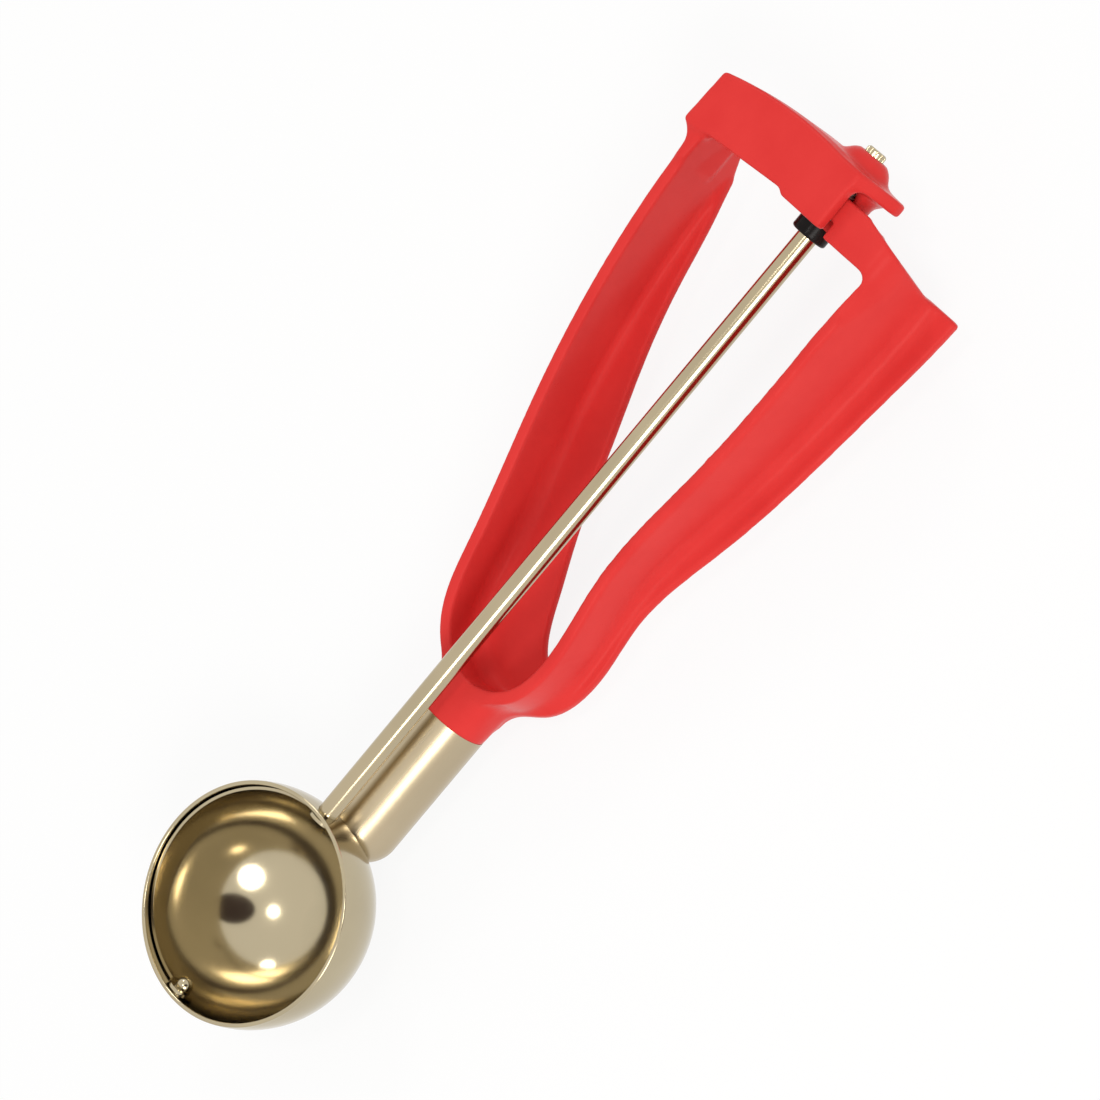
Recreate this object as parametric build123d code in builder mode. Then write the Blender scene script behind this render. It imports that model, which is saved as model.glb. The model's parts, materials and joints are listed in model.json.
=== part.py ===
# Portion scoop with a squeeze handle, a face rack and a rotating scraper blade.
# Millimetres. X runs along the spindle from the bowl to the handle, Z is the way the
# bowl's mouth faces, Y is the stiff arm's side. Origin: bowl centre, on the spindle axis.
import os
from math import atan2, cos, pi, radians, sin, sqrt, tan

from build123d import *

os.makedirs("parts", exist_ok=True)

# Clearances
running_clearance = 0.06
press_clearance = 0.02
slide_clearance = 0.3
blade_clearance = 0.35

# Bowl
bowl_radius = 25.2
bowl_wall = 0.9
rim_rise = 3.6
rim_round = 0.3

# Spindle rod
rod_radius = 2.2
rod_proud = 1.3
rod_spline_count = 12
rod_spline_depth = 0.25
rod_spline_length = 2.6
rod_chamfer = 0.4

# Scraper blade
blade_thickness = 0.6
blade_angle_above = 6.0
blade_angle_below = 10.0
eye_radius = 3.1
eye_thickness = 0.7

# Pivot rivet at the bowl's far side
rivet_radius = 1.3
rivet_head_radius = 2.6
rivet_head_height = 0.9
rivet_head_crown = 1.7
rivet_tail_radius = 1.8
rivet_point_length = 2.4

# Shank tube
tube_radius = 8.25
tube_wall = 0.9
tube_drop = 13.8
tube_sink = 3.6
tube_end_x = 53.7
tube_shoulder = 7.0

# Stem in the tube, and the rivet that holds it from behind
stem_length = 20.0
stem_rivet_radius = 1.6
stem_rivet_head_radius = 2.8
stem_rivet_head_height = 0.9
stem_rivet_depth = 6.0

# Moulded handle
arm_wall = 2.7
palm_thickness = 2.5
neck_length = 8.7
arm_length = 118.0
left_reach = 28.4
right_reach = 20.6
root_half_width = 14.2
front_at_root = -5.8
front_at_head = 9.0
palm_at_root = -18.9
palm_at_head = -14.2
palm_lip = 5.4
arm_draft = 2.8
lever_draft = 4.4
neck_width = 16.6
neck_shift = 0.7
neck_depth = 12.6
neck_round = 4.0

# Flexing root of the squeeze lever: it swings about a line through the middle of the U
swing_rise = 9.6
slip_radius = 20.0
parting_y = 6.0
lever_end_rise = 0.5
rack_tip_y = 4.6

# Gear pair
module_size = 0.8
pinion_teeth = 10
pressure_angle = 25.0
addendum_share = 0.7
dedendum_share = 0.95
tooth_thinning = 0.22
pinion_face = 5.8
pinion_hub_radius = 3.2
pinion_hub_length = 1.8
hub_pin_radius = 0.5
rack_teeth = 8
rack_face = 5.2
bridge_thickness = 1.84
bridge_height = 8.75
strap_round = 5.5
end_slope_side = 0.22
end_slope_back = 0.17
strap_fade = 10.0
strap_edge_round = 1.2

# Gear housing at the head of the stiff arm
front_wall = 3.0
top_plate = 2.8
bar_overhang = 4.1
bar_right = 5.9
bar_droop = 2.6
bar_fall = 0.8
bar_arch = 0.45
plate_rise = 0.8
plate_setback = 2.0
bar_end_height = 12.0
bar_flare = 0.7
bar_step = 1.0
end_wall = 3.0
gusset_length = 6.5
gusset_setback = 1.2
heel_drop = 8.0
heel_slope = 0.85
tail_tip_z = 0.5
tail_width = 2.6
bar_depth = 15.0
boss_radius = 6.4
cavity_radius = 5.0
floor_plate = 2.0
dome_radius = 5.8
dome_height = 3.4
dome_top_radius = 3.1
tail_length = 5.7
bush_radius = 3.0
collar_radius = 3.9
collar_height = 3.2
collar_round = 0.6
washer_thickness = 0.5
washer_radius = 4.2
top_bush_radius = 3.2
top_bush_length = 4.0

# Reach of the housing's bar past the spindle, over the stiff arm
bar_left = left_reach + bar_overhang

# Heights along the handle, from the tube's end to the rod's tip
root_x = tube_end_x + neck_length
swing_x = root_x + swing_rise
head_x = root_x + arm_length
floor_x = head_x - floor_plate
pinion_x = head_x + slide_clearance
hub_x = pinion_x + pinion_face
washer_x = hub_x + pinion_hub_length + running_clearance
ceiling_x = washer_x + washer_thickness + running_clearance
bar_top_x = ceiling_x + top_plate
rod_top_x = bar_top_x + dome_height + rod_proud

# Gear sizes
pitch_radius = module_size * pinion_teeth / 2
pitch = pi * module_size
addendum = addendum_share * module_size
dedendum = dedendum_share * module_size
half_tooth = (pitch / 2 - tooth_thinning) / 2
rack_x = pinion_x + (pinion_face - rack_face) / 2
swing_radius = rack_x + rack_face / 2 - swing_x

# Depths of the rack and its channel
rack_root_z = pitch_radius + dedendum
bridge_front_z = rack_root_z + bridge_thickness
channel_front_z = bridge_front_z + slide_clearance
channel_back_z = pitch_radius - addendum - slide_clearance
bar_front_z = channel_front_z + front_wall
bar_back_z = bar_front_z - bar_depth


def along(share):
    """Height at a share of the arms' length above the root of the U."""
    return root_x + share * arm_length


def front_z(x):
    """Front edge of the arms: it leans forward from the tube to the gear housing."""
    return front_at_root + (front_at_head - front_at_root) * (x - root_x) / arm_length


def palm_z(x):
    """Back face of the arms' palm flange."""
    return palm_at_root + (palm_at_head - palm_at_root) * (x - root_x) / arm_length


def palm_front_z(x):
    """Front face of the palm flange."""
    return palm_z(x) + palm_thickness


def lever_lean(x, z):
    """Outward lean of the lever's wall at a height and a depth."""
    depth_share = (front_at_head + arm_wall - z) / (front_at_head + arm_wall - palm_at_root)
    return lever_draft * depth_share * (x - root_x) / arm_length


def strip(low, high, start, end):
    """Corners of a strip in the XZ plane between two height functions."""
    return [(start, low(start)), (end, low(end)), (end, high(end)), (start, high(start))]


def corner_cut(y, z, round_radius):
    """Outside of a rounded corner whose two faces meet at (y, z), from one end of the round to the other."""
    return [
        (y + round_radius, z),
        (y + round_radius, z + arm_wall),
        (y - 2 * arm_wall, z + arm_wall),
        (y - 2 * arm_wall, z - round_radius),
        (y, z - round_radius),
    ]


def involute_angle(radius, base):
    """Involute function of the flank at a radius."""
    swing = sqrt(max(radius * radius / (base * base) - 1, 0))
    return swing - atan2(swing, 1)


# Middle line of the moulded band: down the stiff arm, round the root, up the squeeze lever
left_rail = [
    (along(1.02), left_reach * 0.99),
    (along(0.75), left_reach),
    (along(0.46), left_reach * 0.825),
    (along(0.19), left_reach * 0.566),
    (along(0.055), root_half_width * 0.76),
]
right_rail = [
    (along(0.04), -root_half_width * 0.775),
    (along(0.115), -root_half_width),
    (along(0.29), -right_reach * 0.61),
    (along(0.54), -right_reach * 0.752),
    (along(0.76), -right_reach * 0.884),
    (along(1.05), -right_reach * 0.917),
]
# Outer edges of the palm flange, and its free edge across the spoon of the root
left_lip = [(x, y + palm_lip) for x, y in left_rail[:4]] + [(along(0.075), root_half_width * 0.9)]
right_lip = [
    (along(0.04), -root_half_width * 1.02),
    (along(0.15), -root_half_width - palm_lip * 0.85),
    (along(0.27), -right_reach * 0.6 - palm_lip),
    (along(0.46), -right_reach * 1.065),
    (along(0.76), -right_reach * 1.35),
    (along(1.05), -right_reach * 1.505),
]
free_edge = [
    (along(0.09), -root_half_width * 0.85),
    (along(0.13), -root_half_width * 0.3),
    (along(0.205), left_reach * 0.025),
    (along(0.3), left_reach * 0.215),
    (along(0.455), left_reach * 0.458),
    (along(0.61), left_reach * 0.7),
    (along(0.75), left_reach * 0.862),
    (along(0.85), left_reach * 0.949),
    (along(0.93), left_reach * 1.035),
    (along(1.02), left_reach * 1.09),
]
# Both arms' walls lean outward towards the palm
left_back_rail = [(x, y + arm_draft * (x - root_x) / arm_length) for x, y in left_rail]
right_back_rail = [(x, y - lever_draft * (x - root_x) / arm_length) for x, y in right_rail]

# Bowl, pressed from sheet
with BuildPart() as bowl:
    with BuildSketch(Plane.XZ) as bowl_profile:
        Circle(bowl_radius)
        Circle(bowl_radius - bowl_wall, mode=Mode.SUBTRACT)
        with Locations((0, rim_rise)):
            Rectangle(3 * bowl_radius, bowl_radius, align=(Align.CENTER, Align.MIN), mode=Mode.SUBTRACT)
        Rectangle(2 * bowl_radius, 3 * bowl_radius, align=(Align.MAX, Align.CENTER), mode=Mode.SUBTRACT)
    revolve(axis=Axis.Z)
    fillet(bowl.faces().sort_by(Axis.Z)[-1].edges(), radius=rim_round)
    with BuildSketch(Plane.YZ) as rod_hole:
        Circle(rod_radius + running_clearance)
    extrude(amount=2 * bowl_radius, mode=Mode.SUBTRACT)
    with BuildSketch(Plane.YZ) as rivet_hole:
        Circle(rivet_radius + press_clearance)
    extrude(amount=-2 * bowl_radius, mode=Mode.SUBTRACT)

# Shank tube with its rounded foot, cut to the bowl
tube_foot_x = sqrt(bowl_radius**2 - tube_drop**2) - tube_sink
with BuildPart() as shank_tube:
    tube_plane = Plane(origin=(0, 0, -tube_drop), x_dir=(1, 0, 0), z_dir=(0, -1, 0))
    with BuildSketch(tube_plane) as tube_profile:
        with BuildLine() as tube_outline:
            round_mid = tube_shoulder * (1 - sqrt(0.5))
            inner_shoulder = tube_shoulder - tube_wall
            inner_mid = tube_wall + inner_shoulder * (1 - sqrt(0.5))
            outer_start = (tube_foot_x, tube_radius - tube_shoulder)
            outer_mid = (tube_foot_x + round_mid, tube_radius - round_mid)
            outer_end = (tube_foot_x + tube_shoulder, tube_radius)
            inner_end = (tube_foot_x + tube_shoulder, tube_radius - tube_wall)
            inner_middle = (tube_foot_x + inner_mid, tube_radius - inner_mid)
            inner_start = (tube_foot_x + tube_wall, tube_radius - tube_shoulder)
            Line((tube_foot_x, 0), outer_start)
            ThreePointArc(outer_start, outer_mid, outer_end)
            Polyline(outer_end, (tube_end_x, tube_radius), (tube_end_x, tube_radius - tube_wall), inner_end)
            ThreePointArc(inner_end, inner_middle, inner_start)
            Polyline(inner_start, (tube_foot_x + tube_wall, 0), (tube_foot_x, 0))
        make_face()
    revolve(axis=Axis((0, 0, -tube_drop), (1, 0, 0)))
    Sphere(bowl_radius, mode=Mode.SUBTRACT)
    with BuildSketch(Plane.XY.offset(-tube_drop)) as stem_rivet_hole:
        with Locations((tube_end_x - stem_length / 2, 0)):
            Circle(stem_rivet_radius + press_clearance)
    extrude(amount=-2 * tube_radius, mode=Mode.SUBTRACT)

# Scraper blade: a band of a sphere with an eye at each end
blade_radius = bowl_radius - bowl_wall - blade_clearance
eye_face_x = sqrt(blade_radius**2 - eye_radius**2)
rod_end_x = eye_face_x - eye_thickness
with BuildPart() as scraper_blade:
    with BuildSketch(Plane.XY.rotated((blade_angle_above, 0, 0))) as blade_profile:
        Circle(blade_radius)
        Circle(blade_radius - blade_thickness, mode=Mode.SUBTRACT)
        Rectangle(3 * blade_radius, 2 * blade_radius, align=(Align.CENTER, Align.MAX), mode=Mode.SUBTRACT)
    revolve(axis=Axis.X, revolution_arc=-blade_angle_above - blade_angle_below)
    for side in (1, -1):
        with BuildSketch(Plane.YZ.offset(side * eye_face_x)) as eye:
            Circle(eye_radius)
        extrude(amount=-side * eye_thickness)
    with BuildSketch(Plane.YZ) as spindle_eye_hole:
        Circle(rod_radius + press_clearance)
    extrude(amount=2 * blade_radius, mode=Mode.SUBTRACT)
    with BuildSketch(Plane.YZ) as rivet_eye_hole:
        Circle(rivet_radius + running_clearance)
    extrude(amount=-2 * blade_radius, mode=Mode.SUBTRACT)

# Pivot rivet through the bowl wall and the blade's far eye, with a pointed inner end
rivet_inner_x = -eye_face_x + eye_thickness + running_clearance
with BuildPart() as pivot_rivet:
    with BuildSketch(Plane.XZ) as rivet_profile:
        with BuildLine() as rivet_outline:
            head_start = (-bowl_radius - rivet_head_height, 0)
            head_rim = (-bowl_radius, rivet_head_radius)
            tail_rim = (rivet_inner_x, rivet_tail_radius)
            tail_point = (rivet_inner_x + rivet_point_length, 0)
            tail_round = (rivet_point_length**2 + rivet_tail_radius**2) / (2 * rivet_point_length)
            tail_mid = (tail_point[0] - tail_round * (1 - sqrt(0.5)), tail_round * sqrt(0.5))
            Line(tail_point, head_start)
            RadiusArc(head_start, head_rim, rivet_head_radius * rivet_head_crown)
            Polyline(head_rim, (-bowl_radius, rivet_radius), (rivet_inner_x, rivet_radius), tail_rim)
            ThreePointArc(tail_rim, tail_mid, tail_point)
        make_face()
    revolve(axis=Axis.X)

# Stock of the moulded handle: the band of the two arms and the palm flange behind it
with BuildPart() as handle_stock:
    with BuildSketch(Plane.XY.offset(palm_at_root)) as band_back:
        with BuildLine() as rail_back:
            Spline(*left_back_rail, (root_x, 0), *right_back_rail)
        trace(line_width=arm_wall)
    with BuildSketch(Plane.XY.offset(front_at_head + arm_wall)) as band_front:
        with BuildLine() as rail_front:
            Spline(*left_rail, (root_x, 0), *right_rail)
        trace(line_width=arm_wall)
    loft(ruled=True)
    with BuildSketch(Plane.XZ) as band_side:
        Polygon(*strip(palm_z, front_z, root_x - arm_length, head_x + arm_length), align=None)
    extrude(amount=arm_length, both=True, mode=Mode.INTERSECT)

palm_foot_x = tube_end_x + neck_length / 2
palm_neck = neck_width * 0.45
with BuildPart() as palm_stock:
    with BuildSketch() as palm_plan:
        with BuildLine() as palm_outline:
            Spline(*left_lip)
            Polyline(
                left_lip[-1],
                (root_x, palm_neck),
                (palm_foot_x, palm_neck),
                (palm_foot_x, -palm_neck),
            )
            Spline((palm_foot_x, -palm_neck), (root_x, -palm_neck * 1.2), *right_lip)
            Line(right_lip[-1], right_back_rail[-1])
            Spline(*reversed(right_back_rail[1:]))
            Line(right_back_rail[1], free_edge[0])
            Spline(*free_edge)
            Line(free_edge[-1], left_lip[0])
        make_face()
    extrude(amount=2 * arm_length, both=True)
    with BuildSketch(Plane.XZ) as palm_side:
        Polygon(*strip(palm_z, palm_front_z, root_x - arm_length, head_x + arm_length), align=None)
    extrude(amount=arm_length, both=True, mode=Mode.INTERSECT)

# Stiff part of the handle: arm, root, neck, stem and gear housing in one moulding
neck_top_z = front_at_root - press_clearance
bar_end = (bar_top_x - bar_droop, bar_left)
bar_corner = (bar_top_x - bar_fall, -bar_right)
bar_crown = (bar_top_x + bar_arch, bar_left * 0.3)
bar_foot = (bar_top_x - bar_droop - bar_end_height, bar_left + bar_flare)
plate_crown = (bar_crown[0] + plate_rise / 2, bar_crown[1])
plate_corner = (bar_corner[0] + plate_rise, bar_corner[1])
heel_low = (head_x - heel_drop, palm_z(head_x - heel_drop))
heel_high = (heel_low[0] + (bar_back_z - heel_low[1]) / heel_slope, bar_back_z)
step_y = bar_right - bar_flare
channel_height = ceiling_x - floor_x + slide_clearance
with BuildPart() as handle_frame:
    add(handle_stock.part)
    add(palm_stock.part)
    with BuildSketch() as lever_region:
        with Locations((swing_x, -parting_y)):
            Rectangle(2 * arm_length, arm_length, align=(Align.MIN, Align.MAX))
        with Locations((swing_x, 0)):
            Circle(slip_radius, mode=Mode.SUBTRACT)
    extrude(amount=arm_length, both=True, mode=Mode.SUBTRACT)
    # The palm ends in a slope up to the back of the bar
    with BuildSketch(Plane.XZ) as heel:
        Polygon(heel_low, heel_high, (rod_top_x, bar_back_z), (rod_top_x, heel_low[1]), align=None)
    extrude(amount=arm_length, both=True, mode=Mode.SUBTRACT)
    # Neck and stem
    with BuildSketch(Plane.YZ.offset(tube_end_x)) as neck_low:
        with Locations((0, -tube_drop)):
            Circle(tube_radius)
    with BuildSketch(Plane.YZ.offset(root_x + arm_wall / 4)) as neck_high:
        with Locations((-neck_shift, neck_top_z - neck_depth / 2)):
            RectangleRounded(neck_width, neck_depth, neck_round)
    loft()
    with BuildSketch(Plane.YZ.offset(tube_end_x)) as stem:
        with Locations((0, -tube_drop)):
            Circle(tube_radius - tube_wall - press_clearance)
    extrude(amount=-stem_length)
    with BuildSketch(Plane.XY.offset(-tube_drop)) as stem_hole:
        with Locations((tube_end_x - stem_length / 2, 0)):
            Circle(stem_rivet_radius + press_clearance)
    extrude(amount=-2 * tube_radius, mode=Mode.SUBTRACT)
    # Front wall of the rack channel
    with BuildSketch(Plane.XY.offset(channel_front_z)) as front_face:
        with BuildLine() as front_outline:
            ThreePointArc(bar_end, bar_crown, bar_corner)
            Polyline(bar_corner, (floor_x, -bar_right), (floor_x, step_y), (floor_x + bar_step, step_y))
            ThreePointArc((floor_x + bar_step, step_y), (floor_x + bar_step / 8, bar_left / 2), bar_foot)
            Line(bar_foot, bar_end)
        make_face()
    extrude(amount=front_wall)
    # Top plate, a little higher than the front wall, and the end wall over the arm
    with BuildSketch(Plane.XY.offset(bar_back_z)) as top_face:
        with BuildLine() as top_outline:
            ThreePointArc(bar_end, plate_crown, plate_corner)
            Line(plate_corner, (bar_corner[0] - top_plate, -bar_right))
            ThreePointArc(
                (bar_corner[0] - top_plate, -bar_right),
                (bar_crown[0] - top_plate, bar_crown[1]),
                (bar_end[0] - top_plate, bar_left),
            )
            Line((bar_end[0] - top_plate, bar_left), bar_end)
        make_face()
    extrude(amount=bar_depth - plate_setback)
    with BuildSketch(Plane.XY.offset(bar_back_z)) as end_face:
        with BuildLine() as end_outline:
            Polyline(
                bar_end,
                bar_foot,
                (bar_foot[0], bar_left - end_wall),
                (bar_end[0], bar_left - end_wall),
                close=True,
            )
        make_face()
    extrude(amount=bar_depth)
    # Tail of the top plate over the lever's bridge
    with BuildSketch(Plane.YZ.offset(ceiling_x)) as tail_face:
        with BuildLine() as tail_outline:
            Polyline(
                (0, bar_front_z),
                (-bar_right, bar_front_z),
                (-bar_right - tail_length, tail_tip_z),
                (-bar_right - tail_length, tail_tip_z - tail_width),
                (-bar_right, bar_back_z),
                (0, bar_back_z),
                close=True,
            )
        make_face()
    extrude(amount=top_plate)
    # Gusset outside the arm, under the bar
    with BuildSketch(Plane.XY.offset(bar_back_z)) as gusset:
        with BuildLine() as gusset_outline:
            gusset_low = (bar_foot[0] - gusset_length, left_reach + arm_wall / 2)
            gusset_mid = (bar_foot[0] - gusset_length / 2, left_reach + arm_wall / 2 + bar_flare)
            ThreePointArc(gusset_low, gusset_mid, bar_foot)
            Polyline(bar_foot, (bar_foot[0] + arm_wall, left_reach), (gusset_low[0], left_reach), gusset_low)
        make_face()
    extrude(amount=bar_depth - gusset_setback)
    # Gear boss round the spindle, and the dome on it
    with BuildSketch(Plane.YZ.offset(floor_x)) as boss:
        Circle(boss_radius)
    extrude(amount=ceiling_x - floor_x + top_plate / 2)
    with BuildSketch(Plane.XZ) as dome_profile:
        with BuildLine() as dome_outline:
            dome_base = (bar_top_x, dome_radius)
            dome_rim = (bar_top_x + dome_height, dome_top_radius)
            dome_mid = (bar_top_x + dome_height * 0.6, dome_radius * 0.84)
            Polyline((ceiling_x, 0), (ceiling_x, dome_radius), dome_base)
            ThreePointArc(dome_base, dome_mid, dome_rim)
            Polyline(dome_rim, (bar_top_x + dome_height, 0), (ceiling_x, 0))
        make_face()
    revolve(axis=Axis.X)
    # Rack channel, pinion cavity and bores
    with BuildSketch(Plane.XY.offset(channel_back_z)) as channel:
        with Locations((floor_x - slide_clearance, 0)):
            Rectangle(channel_height, 3 * boss_radius, align=(Align.MIN, Align.CENTER))
    extrude(amount=channel_front_z - channel_back_z, mode=Mode.SUBTRACT)
    with BuildSketch(Plane.YZ.offset(head_x)) as cavity:
        Circle(cavity_radius)
    extrude(amount=ceiling_x - head_x, mode=Mode.SUBTRACT)
    with BuildSketch(Plane.YZ.offset(floor_x)) as bush_bore:
        Circle(bush_radius + press_clearance)
    extrude(amount=floor_plate, mode=Mode.SUBTRACT)
    with BuildSketch(Plane.YZ.offset(ceiling_x)) as top_bush_bore:
        Circle(top_bush_radius + press_clearance)
    extrude(amount=top_bush_length, mode=Mode.SUBTRACT)
    with BuildSketch(Plane.YZ.offset(ceiling_x)) as rod_bore:
        Circle(rod_radius + running_clearance)
    extrude(amount=rod_top_x - ceiling_x, mode=Mode.SUBTRACT)

# Squeeze lever: flexing arm, bridge and face rack in one moulding
lever_end_x = head_x + lever_end_rise
bridge_low_x = rack_x - (bridge_height - rack_face)
bridge_top_x = rack_x + rack_face
bend_z = bridge_front_z - strap_round
strap_y = right_rail[-1][1] - arm_wall / 2 - lever_lean(head_x, bend_z)
bridge_wall_y = strap_y + arm_wall / 2
bend_y = strap_y + strap_round
end_low_z = palm_front_z(bridge_top_x) + slide_clearance
fade_x = bridge_low_x - strap_fade
fade_rail_y = right_rail[-1][1] * 0.985
fade_y = fade_rail_y - arm_wall / 2 - lever_lean(fade_x, bridge_front_z - strap_edge_round)
with BuildPart() as squeeze_lever:
    add(handle_stock.part)
    add(palm_stock.part)
    with BuildSketch() as lever_keep:
        with Locations((swing_x, -parting_y)):
            Rectangle(2 * arm_length, arm_length, align=(Align.MIN, Align.MAX))
        with Locations((swing_x, 0)):
            Circle(slip_radius + slide_clearance, mode=Mode.SUBTRACT)
    extrude(amount=arm_length, both=True, mode=Mode.INTERSECT)
    with BuildSketch(Plane.XZ) as lever_side:
        with BuildLine() as lever_side_outline:
            Polyline(
                (swing_x, -arm_length),
                (lever_end_x, -arm_length),
                (lever_end_x, end_low_z),
                (bridge_top_x, end_low_z),
                (bridge_top_x, bridge_front_z),
                (swing_x, bridge_front_z),
                close=True,
            )
        make_face()
    extrude(amount=arm_length, both=True, mode=Mode.INTERSECT)
    with BuildSketch(Plane.XY.offset(rack_root_z)) as bridge:
        with BuildLine() as bridge_outline:
            Polyline(
                (bridge_low_x, bridge_wall_y),
                (bridge_low_x, -bar_right - slide_clearance),
                (rack_x, -bar_right - slide_clearance),
                (rack_x, rack_tip_y),
                (bridge_top_x, rack_tip_y),
                (bridge_top_x, bridge_wall_y),
                close=True,
            )
        make_face()
    extrude(amount=bridge_thickness)
    # The bridge bends into the arm: filled inside, rounded outside, and the round fades down the arm
    with BuildSketch(Plane.YZ.offset(bridge_low_x)) as bend_inside:
        with Locations((bend_y, bend_z)):
            Rectangle(strap_round, strap_round, align=(Align.MAX, Align.MIN))
            Circle(strap_round - bridge_thickness, mode=Mode.SUBTRACT)
    extrude(amount=bridge_height)
    with BuildSketch(Plane.YZ.offset(bridge_low_x)) as bend_outside:
        with BuildLine() as bend_outline:
            Polyline(*corner_cut(strap_y, bridge_front_z, strap_round))
            RadiusArc((strap_y, bend_z), (bend_y, bridge_front_z), strap_round)
        make_face()
    extrude(amount=2 * bridge_height, mode=Mode.SUBTRACT)
    with BuildSketch(Plane.YZ.offset(bridge_low_x)) as fade_start:
        with BuildLine() as fade_start_outline:
            Polyline(*corner_cut(strap_y, bridge_front_z, strap_round))
            RadiusArc((strap_y, bend_z), (bend_y, bridge_front_z), strap_round)
        make_face()
    with BuildSketch(Plane.YZ.offset(fade_x)) as fade_end:
        with BuildLine() as fade_end_outline:
            Polyline(*corner_cut(fade_y, bridge_front_z, strap_edge_round))
            RadiusArc(
                (fade_y, bridge_front_z - strap_edge_round),
                (fade_y + strap_edge_round, bridge_front_z),
                strap_edge_round,
            )
        make_face()
    loft(ruled=True, mode=Mode.SUBTRACT)
    # The strap's end slopes down from the rack to the palm
    end_plane = Plane(
        origin=(bridge_top_x, -bar_right - tail_length, bridge_front_z),
        x_dir=(end_slope_side, 1, 0),
        z_dir=(1, -end_slope_side, -end_slope_back),
    )
    with BuildSketch(end_plane) as strap_end:
        with Locations((0, strap_round)):
            slope_length = sqrt(1 + end_slope_back**2 / (1 + end_slope_side**2))
            end_height = (bridge_front_z - end_low_z) * slope_length + strap_round
            Rectangle(2 * right_reach, end_height, align=(Align.MAX, Align.MAX))
    extrude(amount=bridge_height, mode=Mode.SUBTRACT)
    for tooth in range(rack_teeth):
        turn = (1 - tooth) * pitch / swing_radius
        tooth_plane = Plane(
            origin=(
                swing_x + (swing_radius - rack_face / 2) * cos(turn),
                (swing_radius - rack_face / 2) * sin(turn),
                pitch_radius,
            ),
            x_dir=(-sin(turn), cos(turn), 0),
            z_dir=(cos(turn), sin(turn), 0),
        )
        lean = tan(radians(pressure_angle))
        with BuildSketch(tooth_plane) as rack_tooth:
            with BuildLine() as rack_tooth_outline:
                Polyline(
                    (-half_tooth + addendum * lean, -addendum),
                    (half_tooth - addendum * lean, -addendum),
                    (half_tooth + dedendum * lean, dedendum + slide_clearance),
                    (-half_tooth - dedendum * lean, dedendum + slide_clearance),
                    close=True,
                )
            make_face()
        extrude(amount=rack_face)

# Pinion with involute teeth, a gap of it facing the rack
base_radius = pitch_radius * cos(radians(pressure_angle))
root_radius = pitch_radius - dedendum
tip_radius = pitch_radius + addendum
flank_steps = 5
gear_points = []
for tooth in range(pinion_teeth):
    middle = pi / 2 + (tooth + 0.5) * 2 * pi / pinion_teeth
    half_at_pitch = half_tooth / pitch_radius + involute_angle(pitch_radius, base_radius)
    flank = [(root_radius, half_at_pitch)]
    for step in range(flank_steps):
        radius = base_radius + (tip_radius - base_radius) * step / (flank_steps - 1)
        flank.append((radius, half_at_pitch - involute_angle(radius, base_radius)))
    rising = [(radius * cos(middle - half), radius * sin(middle - half)) for radius, half in flank]
    falling = [(radius * cos(middle + half), radius * sin(middle + half)) for radius, half in reversed(flank)]
    gear_points += rising + falling
hub_pin_x = hub_x + pinion_hub_length / 2
with BuildPart() as pinion:
    with BuildSketch(Plane.YZ.offset(pinion_x)) as gear_face:
        with BuildLine() as gear_outline:
            Polyline(*gear_points, close=True)
        make_face()
    extrude(amount=pinion_face)
    with BuildSketch(Plane.YZ.offset(hub_x)) as hub_face:
        Circle(pinion_hub_radius)
    extrude(amount=pinion_hub_length)
    with BuildSketch(Plane.YZ.offset(pinion_x)) as pinion_bore:
        Circle(rod_radius + press_clearance)
    extrude(amount=pinion_face + pinion_hub_length, mode=Mode.SUBTRACT)
    with BuildSketch(Plane.XZ) as hub_pin_hole:
        with Locations((hub_pin_x, 0)):
            Circle(hub_pin_radius + press_clearance)
    extrude(amount=pinion_hub_radius, both=True, mode=Mode.SUBTRACT)

# Pin through the pinion's hub and the rod
with BuildPart() as hub_pin:
    with BuildSketch(Plane.XZ) as hub_pin_face:
        with Locations((hub_pin_x, 0)):
            Circle(hub_pin_radius)
    extrude(amount=pinion_hub_radius, both=True)

# Spindle rod with a splined upper end
with BuildPart() as spindle_rod:
    with BuildSketch(Plane.YZ.offset(rod_end_x)) as rod_face:
        Circle(rod_radius)
    extrude(amount=rod_top_x - rod_end_x)
    chamfer(spindle_rod.faces().sort_by(Axis.X)[-1].edges(), length=rod_chamfer)
    with BuildSketch(Plane.XZ) as rod_pin_hole:
        with Locations((hub_pin_x, 0)):
            Circle(hub_pin_radius + press_clearance)
    extrude(amount=2 * rod_radius, both=True, mode=Mode.SUBTRACT)
    with BuildSketch(Plane.YZ.offset(rod_top_x)) as rod_grooves:
        with PolarLocations(rod_radius, rod_spline_count):
            Circle(rod_spline_depth)
    extrude(amount=-rod_spline_length, mode=Mode.SUBTRACT)

# Lower bush with its black collar
with BuildPart() as lower_bush:
    with BuildSketch(Plane.YZ.offset(floor_x)) as bush_collar:
        Circle(collar_radius)
    extrude(amount=-collar_height)
    fillet(lower_bush.faces().sort_by(Axis.X)[0].edges(), radius=collar_round)
    with BuildSketch(Plane.YZ.offset(floor_x)) as bush_sleeve:
        Circle(bush_radius)
    extrude(amount=floor_plate)
    with BuildSketch(Plane.YZ.offset(floor_x)) as bush_hole:
        Circle(rod_radius + running_clearance)
    extrude(amount=2 * collar_height, both=True, mode=Mode.SUBTRACT)

# Upper bush in the dome
with BuildPart() as upper_bush:
    with BuildSketch(Plane.YZ.offset(ceiling_x)) as upper_bush_ring:
        Circle(top_bush_radius)
        Circle(rod_radius + running_clearance, mode=Mode.SUBTRACT)
    extrude(amount=top_bush_length)

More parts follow.
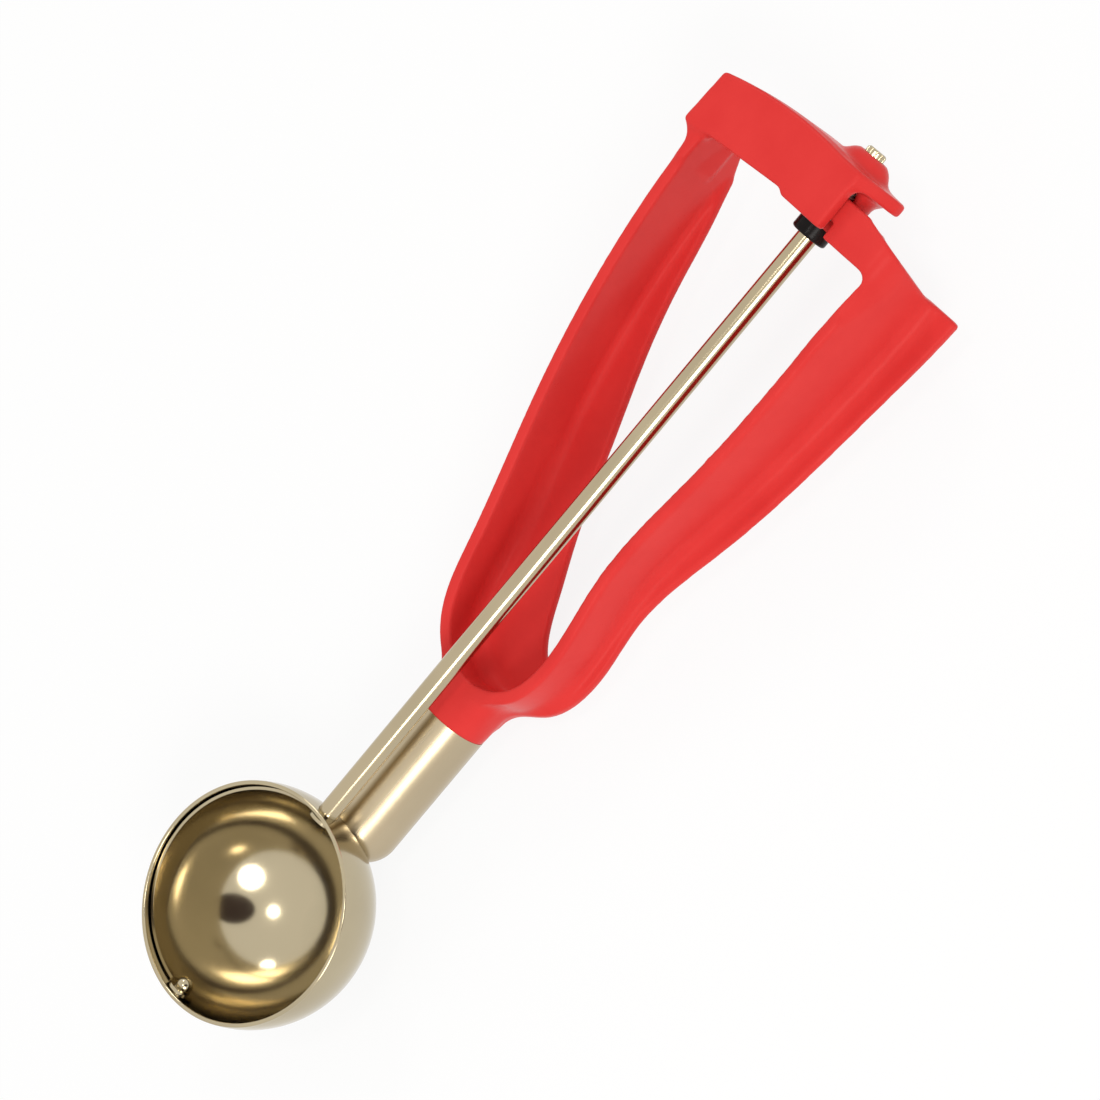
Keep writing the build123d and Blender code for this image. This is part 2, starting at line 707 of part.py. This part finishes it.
# Thrust washer between the pinion's hub and the housing
with BuildPart() as thrust_washer:
    with BuildSketch(Plane.YZ.offset(washer_x)) as washer_ring:
        Circle(washer_radius)
        Circle(rod_radius + press_clearance, mode=Mode.SUBTRACT)
    extrude(amount=washer_thickness)

# Rivet that holds the stem in the tube, from behind
with BuildPart() as stem_rivet:
    with BuildSketch(Plane.XY.offset(-tube_drop - tube_radius)) as stem_rivet_shank:
        with Locations((tube_end_x - stem_length / 2, 0)):
            Circle(stem_rivet_radius)
    extrude(amount=stem_rivet_depth)
    with BuildSketch(Plane.XY.offset(-tube_drop - tube_radius)) as stem_rivet_head:
        with Locations((tube_end_x - stem_length / 2, 0)):
            Circle(stem_rivet_head_radius)
    extrude(amount=-stem_rivet_head_height)
    fillet(stem_rivet.faces().sort_by(Axis.Z)[0].edges(), radius=stem_rivet_head_height * 0.8)

export_list = [
    (bowl, "bowl"),
    (shank_tube, "shank_tube"),
    (scraper_blade, "scraper_blade"),
    (pivot_rivet, "pivot_rivet"),
    (handle_frame, "handle_frame"),
    (squeeze_lever, "squeeze_lever"),
    (pinion, "pinion"),
    (hub_pin, "hub_pin"),
    (spindle_rod, "spindle_rod"),
    (lower_bush, "lower_bush"),
    (upper_bush, "upper_bush"),
    (thrust_washer, "thrust_washer"),
    (stem_rivet, "stem_rivet"),
]
for piece, node in export_list:
    piece.part.label = node
    export_step(piece.part, f"parts/{node}.step")
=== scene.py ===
"""Portion scoop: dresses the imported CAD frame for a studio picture."""
import json

import bmesh
import bpy
import numpy as np
import openvdb
from mathutils import Matrix, Vector

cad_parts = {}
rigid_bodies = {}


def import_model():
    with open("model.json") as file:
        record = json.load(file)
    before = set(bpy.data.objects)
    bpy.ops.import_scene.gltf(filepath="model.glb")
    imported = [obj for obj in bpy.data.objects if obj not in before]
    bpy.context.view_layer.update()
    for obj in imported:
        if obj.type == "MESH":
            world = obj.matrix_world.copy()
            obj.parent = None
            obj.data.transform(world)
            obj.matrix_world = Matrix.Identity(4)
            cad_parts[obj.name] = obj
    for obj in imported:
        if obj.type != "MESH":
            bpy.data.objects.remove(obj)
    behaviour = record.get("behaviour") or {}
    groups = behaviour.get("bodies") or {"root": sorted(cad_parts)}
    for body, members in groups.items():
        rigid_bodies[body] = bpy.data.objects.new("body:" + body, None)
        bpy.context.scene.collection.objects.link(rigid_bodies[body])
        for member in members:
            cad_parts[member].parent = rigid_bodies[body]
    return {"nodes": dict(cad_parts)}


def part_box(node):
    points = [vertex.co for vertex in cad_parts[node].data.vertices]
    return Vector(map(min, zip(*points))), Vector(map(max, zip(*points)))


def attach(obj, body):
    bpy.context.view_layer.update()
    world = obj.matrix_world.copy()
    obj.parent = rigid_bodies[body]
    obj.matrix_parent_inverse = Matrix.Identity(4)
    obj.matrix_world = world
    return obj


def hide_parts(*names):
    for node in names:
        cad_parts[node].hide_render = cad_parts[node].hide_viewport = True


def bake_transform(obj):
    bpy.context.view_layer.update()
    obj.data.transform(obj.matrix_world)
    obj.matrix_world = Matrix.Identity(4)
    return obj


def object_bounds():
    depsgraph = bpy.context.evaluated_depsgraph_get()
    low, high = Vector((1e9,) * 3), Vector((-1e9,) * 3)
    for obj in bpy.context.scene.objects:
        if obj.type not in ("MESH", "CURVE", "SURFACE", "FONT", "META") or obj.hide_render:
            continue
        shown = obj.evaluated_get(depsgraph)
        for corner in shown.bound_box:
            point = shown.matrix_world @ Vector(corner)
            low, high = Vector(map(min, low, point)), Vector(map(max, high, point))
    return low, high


MM = 0.001

for old in list(bpy.data.objects):
    bpy.data.objects.remove(old)

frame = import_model()
cad_box = [list(corner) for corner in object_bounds()]
nodes = frame["nodes"]
scene = bpy.context.scene


# Materials

EVEN = (1.0, 1.0, 1.0)
LENGTHWISE = (0.05, 1.0, 1.0)
WHITE = (1.0, 1.0, 1.0)
RED_SHEEN = (1.0, 0.5, 0.46)
PLASTIC_SPECULAR = 0.08
PLASTIC_BUMP = 0.2
PLASTIC_GRAIN_DEPTH = 0.1 * MM
PLASTIC_GLOSS = (0.85, 1.15)
STEEL_LINE_DEPTH = 0.05 * MM
STEEL_GLOSS = (0.6, 1.6)
STEEL_SMEAR = 0.9


class Finish:
    """A material in the making: nodes are added to it and linked to its shader."""

    def __init__(self, name):
        self.material = bpy.data.materials.new(name)
        self.material.use_nodes = True
        self.tree = self.material.node_tree
        self.link = self.tree.links.new
        self.shader = self.tree.nodes["Principled BSDF"]

    def add(self, kind, **inputs):
        """A new node with some of its inputs set."""
        return self.fill(self.tree.nodes.new(kind), **inputs)

    def fill(self, node, **inputs):
        """Sets inputs of a node by name, with _ for a blank."""
        for key, value in inputs.items():
            node.inputs[key.replace("_", " ")].default_value = value
        return node

    def noise(self, scale, detail, roughness, stretch=EVEN):
        """Noise over the object, drawn out along an axis where its stretch is small."""
        where = self.add("ShaderNodeTexCoord")
        drawn_out = self.add("ShaderNodeMapping", Scale=stretch)
        self.link(where.outputs["Object"], drawn_out.inputs["Vector"])
        pattern = self.add("ShaderNodeTexNoise", Scale=scale, Detail=detail, Roughness=roughness)
        self.link(drawn_out.outputs["Vector"], pattern.inputs["Vector"])
        return pattern.outputs["Fac"]

    def colour(self, noise, low, high, start, end):
        """Colour that goes from low to high as the noise goes from start to end."""
        ramp = self.add("ShaderNodeValToRGB")
        for element, place, tone in zip(ramp.color_ramp.elements, (start, end), (low, high)):
            element.position = place
            element.color = (*tone, 1)
        self.link(noise, ramp.inputs["Fac"])
        self.link(ramp.outputs["Color"], self.shader.inputs["Base Color"])

    def relief(self, noise, roughness, gloss, strength, depth):
        """Roughness between two shares of its mean, and a bump, from the same noise."""
        patchy = self.add("ShaderNodeMapRange", To_Min=roughness * gloss[0], To_Max=roughness * gloss[1])
        self.link(noise, patchy.inputs["Value"])
        self.link(patchy.outputs["Result"], self.shader.inputs["Roughness"])
        bump = self.add("ShaderNodeBump", Strength=strength, Distance=depth)
        self.link(noise, bump.inputs["Height"])
        self.link(bump.outputs["Normal"], self.shader.inputs["Normal"])


def moulded_plastic(name, low, high, roughness, grain, sheen):
    """Moulded plastic: slightly uneven colour, fine grain in the bump, patchy gloss in a tint."""
    finish = Finish(name)
    finish.colour(finish.noise(scale=90.0, detail=4.0, roughness=0.55), low, high, start=0.35, end=0.65)
    fine = finish.noise(scale=grain, detail=6.0, roughness=0.6)
    finish.relief(fine, roughness, PLASTIC_GLOSS, PLASTIC_BUMP, PLASTIC_GRAIN_DEPTH)
    finish.fill(finish.shader, Specular_IOR_Level=PLASTIC_SPECULAR, Specular_Tint=(*sheen, 1))
    return finish.material


def polished_steel(name, colour, roughness, bump, streak):
    """Polished steel: fine polishing lines along one direction and a few faint smears."""
    finish = Finish(name)
    dull = tuple(part * STEEL_SMEAR for part in colour)
    finish.colour(finish.noise(scale=45.0, detail=3.0, roughness=0.5), dull, colour, start=0.3, end=0.6)
    lines = finish.noise(scale=60.0, detail=5.0, roughness=0.65, stretch=streak)
    finish.relief(lines, roughness, STEEL_GLOSS, bump, STEEL_LINE_DEPTH)
    finish.fill(finish.shader, Metallic=1.0)
    return finish.material


red = moulded_plastic(
    "red_moulding", (0.69, 0.040, 0.038), (0.72, 0.046, 0.043), roughness=0.29, grain=1400.0, sheen=RED_SHEEN
)
black = moulded_plastic(
    "black_moulding", (0.008, 0.007, 0.007), (0.02, 0.017, 0.016), roughness=0.22, grain=1800.0, sheen=WHITE
)
natural = moulded_plastic(
    "natural_moulding", (0.62, 0.60, 0.55), (0.70, 0.68, 0.63), roughness=0.45, grain=1500.0, sheen=WHITE
)
pressed = polished_steel("pressed_steel", (0.50, 0.43, 0.29), roughness=0.12, bump=0.05, streak=EVEN)
drawn = polished_steel("drawn_steel", (0.52, 0.43, 0.29), roughness=0.25, bump=0.01, streak=LENGTHWISE)
ground = polished_steel("ground_steel", (0.50, 0.42, 0.28), roughness=0.13, bump=0.01, streak=LENGTHWISE)

node_materials = {
    "bowl": pressed,
    "scraper_blade": pressed,
    "pivot_rivet": pressed,
    "shank_tube": drawn,
    "stem_rivet": drawn,
    "spindle_rod": ground,
    "hub_pin": drawn,
    "thrust_washer": drawn,
    "lower_bush": black,
    "upper_bush": black,
    "pinion": natural,
    "handle_frame": red,
    "squeeze_lever": red,
}
for node_name, node_material in node_materials.items():
    node_mesh = nodes[node_name].data
    node_mesh.materials.clear()
    node_mesh.materials.append(node_material)


# Handle: one soft-edged moulding over the stiff part and the lever, shaped in distance fields

X, Y, Z = range(3)
VOXEL = 0.3 * MM
BAND = 4.5 * MM
MARGIN = 9 * MM
FILLET = 1.6 * MM
DEEP_FILLET = 3.2 * MM
LEVER_ROUND = 0.85 * MM
EDGE_BLUR = 0.32 * MM
RACK_BLUR = 0.15 * MM
RELAX_PASSES = 4
RELAX_SHARE = 0.5
WELD = 0.03 * MM

# Zones of the moulding, each border as an axis, where the zone starts and where it is full
SPOON = [(Y, -6 * MM, 0.0), (X, 120 * MM, 90 * MM)]
VALLEY = [(Y, -12 * MM, -15 * MM), (X, 84 * MM, 100 * MM), (Z, -1 * MM, -4 * MM)]
NECK = [(Y, -5 * MM, -8 * MM), (X, 82 * MM, 72 * MM)]
LEVER_ARM = [(Y, -5 * MM, -9 * MM), (X, 80 * MM, 100 * MM), (X, 174 * MM, 155 * MM)]
RACK = [(Y, -15 * MM, -12 * MM)]

# Planes that cut the skins, and a point on the slanted plane that parts the lever's root from the stiff
# part's corner
ALONG = Vector((1, 0, 0))
ACROSS = Vector((0, 1, 0))
JOIN = Vector((130 * MM, 0, 0))
SIDE_SPLIT = Vector((0, -5 * MM, 0))
PARTING = Vector((72.5 * MM, -11.5 * MM, 0))
PARTING_NORMAL = Vector((0.7071, -0.7071, 0))


class Field:
    """A box of the shared voxel grid, with signed distances to the named nodes' solids."""

    def __init__(self, names, low, high):
        self.start = np.floor(np.array(low) / VOXEL).astype(int)
        self.shape = tuple(np.ceil(np.array(high) / VOXEL).astype(int) - self.start)
        points = []
        triangles = []
        for name in names:
            mesh = nodes[name].data
            mesh.calc_loop_triangles()
            corners = np.empty(3 * len(mesh.vertices), dtype=np.float32)
            mesh.vertices.foreach_get("co", corners)
            indices = np.empty(3 * len(mesh.loop_triangles), dtype=np.int32)
            mesh.loop_triangles.foreach_get("vertices", indices)
            triangles.append(indices.reshape(-1, 3) + sum(len(block) for block in points))
            points.append(corners.reshape(-1, 3))
        self.values = self.distances(np.concatenate(points), triangles=np.concatenate(triangles))

    def zone(self, borders):
        """1 inside a zone and 0 outside, with soft borders, spread over the box."""
        share = 1.0
        for axis, start, full in borders:
            line = (self.start[axis] + np.arange(self.shape[axis])) * VOXEL
            rise = np.clip((line - start) / (full - start), 0.0, 1.0)
            step = rise * rise * (3 - 2 * rise)
            share = share * step.reshape([-1 if k == axis else 1 for k in range(3)])
        return share

    def distances(self, points, **faces):
        """Signed distances to a closed surface, over the box."""
        grid = openvdb.FloatGrid.createLevelSetFromPolygons(
            points, transform=openvdb.createLinearTransform(VOXEL), halfWidth=BAND / VOXEL, **faces
        )
        values = np.empty(self.shape, dtype=np.float32)
        grid.copyToArray(values, ijk=tuple(int(k) for k in self.start))
        return values

    def surface(self, values, level):
        """Points, triangles and quads of the surface at a level."""
        grid = openvdb.FloatGrid(BAND)
        grid.copyFromArray(values, ijk=tuple(int(k) for k in self.start))
        grid.transform = openvdb.createLinearTransform(VOXEL)
        return grid.convertToPolygons(isovalue=level)

    def rolled(self, values, radius):
        """The shape closed by a ball of a radius, or opened by it where the radius is negative."""
        points, triangles, quads = self.surface(values, radius)
        return self.distances(points, triangles=triangles, quads=quads) + radius

    def blurred(self, values, size):
        """The distances averaged over a small ball, which rounds edges and leaves flat faces in place."""
        reach = int(np.ceil(3 * size / VOXEL))
        steps = np.arange(-reach, reach + 1)
        kernel = np.exp(-0.5 * (steps * VOXEL / size) ** 2)
        kernel /= kernel.sum()
        for axis in (X, Y, Z):
            ends = [(reach, reach) if k == axis else (0, 0) for k in range(3)]
            padded = np.pad(values, ends, mode="edge")
            line = np.arange(self.shape[axis])
            values = sum(
                float(weight) * np.take(padded, line + k, axis=axis) for k, weight in enumerate(kernel)
            )
        return values.astype(np.float32)

    def skin(self, values):
        """The zero surface as a bmesh, lightly relaxed."""
        points, triangles, quads = self.surface(values, 0.0)
        mesh = bpy.data.meshes.new("skin")
        mesh.from_pydata(points.tolist(), [], triangles.tolist() + quads.tolist())
        shape = bmesh.new()
        shape.from_mesh(mesh)
        bpy.data.meshes.remove(mesh)
        for _ in range(RELAX_PASSES):
            bmesh.ops.smooth_vert(
                shape,
                verts=shape.verts,
                factor=RELAX_SHARE,
                use_axis_x=True,
                use_axis_y=True,
                use_axis_z=True,
            )
        bmesh.ops.recalc_face_normals(shape, faces=shape.faces)
        return shape


def mixed(first, second, share):
    """First where the share is 0, second where it is 1."""
    return (first + (second - first) * share).astype(np.float32)


def filleted(field):
    """The shape with fillets in its inner corners, deeper in the spoon, the lever's valley and the neck."""
    deep = np.maximum(np.maximum(field.zone(SPOON), field.zone(VALLEY)), field.zone(NECK))
    return mixed(field.rolled(field.values, FILLET), field.rolled(field.values, DEEP_FILLET), deep)


def softened(field):
    """The filleted shape with rounded edges, more so on the lever's arm and less on its thinner strap."""
    values = filleted(field)
    arm_rounded = mixed(values, field.rolled(values, -LEVER_ROUND), field.zone(LEVER_ARM))
    return field.blurred(arm_rounded, EDGE_BLUR)


def keep_side(shape, point, normal):
    """Cuts the bmesh at a plane and keeps the side that the normal points to."""
    geometry = shape.verts[:] + shape.edges[:] + shape.faces[:]
    bmesh.ops.bisect_plane(shape, geom=geometry, plane_co=point, plane_no=normal, clear_inner=True)
    return shape


def finish_piece(name, shapes):
    """One closed red object from several bmeshes whose cut edges meet, kept inside the CAD box."""
    whole = bmesh.new()
    for shape in shapes:
        mesh = bpy.data.meshes.new("part")
        shape.to_mesh(mesh)
        whole.from_mesh(mesh)
        bpy.data.meshes.remove(mesh)
        shape.free()
    bmesh.ops.remove_doubles(whole, verts=whole.verts, dist=WELD)
    for vert in whole.verts:
        vert.co = [min(max(co, low), high) for co, low, high in zip(vert.co, *cad_box)]
    for face in whole.faces:
        face.smooth = True
    cut_edges = [edge for edge in whole.edges if edge.is_boundary]
    caps = bmesh.ops.holes_fill(whole, edges=cut_edges)["faces"]
    for edge in cut_edges:
        edge.smooth = False
    bmesh.ops.triangulate(whole, faces=caps)
    bmesh.ops.recalc_face_normals(whole, faces=whole.faces)
    mesh = bpy.data.meshes.new(name)
    whole.to_mesh(mesh)
    whole.free()
    mesh.materials.append(red)
    piece = bpy.data.objects.new(name, mesh)
    scene.collection.objects.link(piece)
    return piece


frame_low, frame_high = (Vector(corner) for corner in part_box("handle_frame"))
lever_low, lever_high = (Vector(corner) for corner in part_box("squeeze_lever"))

# Root of the U, both nodes as one, parted between the stiff part and the lever
root_field = Field(
    ["handle_frame", "squeeze_lever"],
    (frame_low.x - MARGIN, lever_low.y - MARGIN, frame_low.z - MARGIN),
    (JOIN.x + MARGIN, frame_high.y + MARGIN, frame_high.z + MARGIN),
)
root = keep_side(root_field.skin(softened(root_field)), JOIN, -ALONG)
lever_half = keep_side(root.copy(), SIDE_SPLIT, -ACROSS)
stiff_root = keep_side(root.copy(), SIDE_SPLIT, ACROSS)
lever_root = keep_side(lever_half.copy(), PARTING, PARTING_NORMAL)
stiff_corner = keep_side(lever_half.copy(), PARTING, -PARTING_NORMAL)
root.free()
lever_half.free()

# Upper half of the stiff part, with the gear housing
stiff_field = Field(
    ["handle_frame"],
    (JOIN.x - MARGIN, frame_low.y - MARGIN, frame_low.z - MARGIN),
    (frame_high.x + MARGIN, frame_high.y + MARGIN, frame_high.z + MARGIN),
)
stiff_shape = stiff_field.blurred(stiff_field.rolled(stiff_field.values, FILLET), EDGE_BLUR)
stiff_top = keep_side(stiff_field.skin(stiff_shape), JOIN, ALONG)

# Upper half of the lever; its rack keeps its teeth
lever_field = Field(
    ["squeeze_lever"],
    (JOIN.x - MARGIN, lever_low.y - MARGIN, lever_low.z - MARGIN),
    (lever_high.x + MARGIN, lever_high.y + MARGIN, lever_high.z + MARGIN),
)
toothed = lever_field.blurred(lever_field.values, RACK_BLUR)
lever_shape = mixed(softened(lever_field), toothed, lever_field.zone(RACK))
lever_top = keep_side(lever_field.skin(lever_shape), JOIN, ALONG)

stiff_skin = finish_piece("handle_moulding", [stiff_root, stiff_corner, stiff_top])
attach(stiff_skin, "frame")
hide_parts("handle_frame")
lever_skin = finish_piece("lever_moulding", [lever_root, lever_top])
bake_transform(lever_skin)
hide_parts("squeeze_lever")


# Stage: pale floor, soft light, camera at the photograph's angle

scene.view_settings.view_transform = "Standard"

MIDDLE = Vector((0.06, 0.0, 0.0))
FLOOR_SIZE = 6.0
FLOOR_GAP = 0.2 * MM
FLOOR_GREY = (0.9, 0.9, 0.9, 1)
FLOOR_GLOW = 0.88
MATT = 0.9
WORLD_COLOUR = (1.0, 0.985, 0.96, 1)
WORLD_LIGHT = 0.7
WORLD_SEEN = 1.0
LAMP_COLOUR = (1.0, 0.98, 0.95)
CARD_OFFSET = Vector((0.50, -0.60, 0.62))
CARD_RADIUS = 0.3
CARD_SCALE = (0.9, 1.35, 1.0)
CARD_COLOUR = (0.06, 0.04, 0.042, 1)
SENSOR_WIDTH = 36.0
LENS = 108.0
CAMERA_PLACE = Vector((219.3, -321.2, 552.2)) * MM
CAMERA_RIGHT = Vector((0.628, -0.604, -0.491))
CAMERA_BACK = Vector((0.190, -0.493, 0.849))


def seen_share(tree):
    """1 where a ray comes from the camera, a mirror or glass, and 0 for light falling on the object."""
    rays = tree.nodes.new("ShaderNodeLightPath")
    total = rays.outputs["Is Camera Ray"]
    for kind in ("Is Glossy Ray", "Is Transmission Ray"):
        either = tree.nodes.new("ShaderNodeMath")
        either.operation = "MAXIMUM"
        tree.links.new(total, either.inputs[0])
        tree.links.new(rays.outputs[kind], either.inputs[1])
        total = either.outputs["Value"]
    return total


def facing_out(direction):
    """The turn that points an object's own Z axis in a direction."""
    return direction.to_track_quat("Z", "Y").to_euler()


def make_floor():
    """A pale floor that looks nearly white and still takes the object's shadow."""
    place = (0, 0, cad_box[0][2] - FLOOR_GAP)
    bpy.ops.mesh.primitive_plane_add(size=FLOOR_SIZE, location=place)
    floor = bpy.context.object
    floor.name = "floor"
    finish = Finish("pale_floor")
    finish.fill(finish.shader, Base_Color=FLOOR_GREY, Roughness=MATT, Specular_IOR_Level=0.0)
    glow = finish.add("ShaderNodeEmission", Color=(*WHITE, 1), Strength=1.0)
    share = finish.add("ShaderNodeMath")
    share.operation = "MULTIPLY"
    share.inputs[1].default_value = FLOOR_GLOW
    finish.link(seen_share(finish.tree), share.inputs[0])
    both = finish.add("ShaderNodeMixShader")
    finish.link(share.outputs["Value"], both.inputs["Fac"])
    finish.link(finish.shader.outputs["BSDF"], both.inputs[1])
    finish.link(glow.outputs["Emission"], both.inputs[2])
    finish.link(both.outputs["Shader"], finish.tree.nodes["Material Output"].inputs["Surface"])
    floor.data.materials.append(finish.material)


def make_world():
    """A plain warm white world, a little darker as a light than it is seen."""
    world = bpy.data.worlds.new("studio")
    scene.world = world
    world.use_nodes = True
    tree = world.node_tree
    backing = tree.nodes["Background"]
    backing.inputs["Color"].default_value = WORLD_COLOUR
    level = tree.nodes.new("ShaderNodeMapRange")
    level.inputs["To Min"].default_value = WORLD_LIGHT
    level.inputs["To Max"].default_value = WORLD_SEEN
    tree.links.new(seen_share(tree), level.inputs["Value"])
    tree.links.new(level.outputs["Result"], backing.inputs["Strength"])


def soft_lamp(name, direction, distance, size, watts):
    """A round area lamp that looks at the object from a direction."""
    data = bpy.data.lights.new(name, "AREA")
    data.shape = "DISK"
    data.size = size
    data.energy = watts
    data.color = LAMP_COLOUR
    towards = Vector(direction).normalized()
    lamp = bpy.data.objects.new(name, data)
    lamp.location = MIDDLE + towards * distance
    lamp.rotation_euler = facing_out(towards)
    scene.collection.objects.link(lamp)


def dark_card():
    """A dark round card beside the camera, which the polished bowl mirrors."""
    bpy.ops.mesh.primitive_circle_add(
        radius=CARD_RADIUS, fill_type="NGON", location=MIDDLE + CARD_OFFSET
    )
    card = bpy.context.object
    card.name = "dark_card"
    card.scale = CARD_SCALE
    card.rotation_euler = facing_out(CARD_OFFSET)
    finish = Finish("dark_card")
    finish.fill(finish.shader, Base_Color=CARD_COLOUR, Roughness=MATT)
    card.data.materials.append(finish.material)


def make_camera():
    """The camera where the photograph was taken from."""
    data = bpy.data.cameras.new("camera")
    data.sensor_width = SENSOR_WIDTH
    data.lens = LENS
    camera = bpy.data.objects.new("camera", data)
    back = CAMERA_BACK.normalized()
    up = back.cross(CAMERA_RIGHT).normalized()
    right = up.cross(back)
    turn = Matrix((right, up, back)).transposed().to_4x4()
    camera.matrix_world = Matrix.Translation(CAMERA_PLACE) @ turn
    scene.collection.objects.link(camera)
    scene.camera = camera


make_floor()
make_world()
soft_lamp("key", (-0.09, -0.74, 0.67), distance=1.1, size=0.46, watts=4.8)
soft_lamp("fill", (0.60, 0.53, 0.57), distance=1.2, size=0.26, watts=1.8)
soft_lamp("top", (0.12, -0.16, 0.98), distance=1.3, size=0.22, watts=1.8)
dark_card()
make_camera()
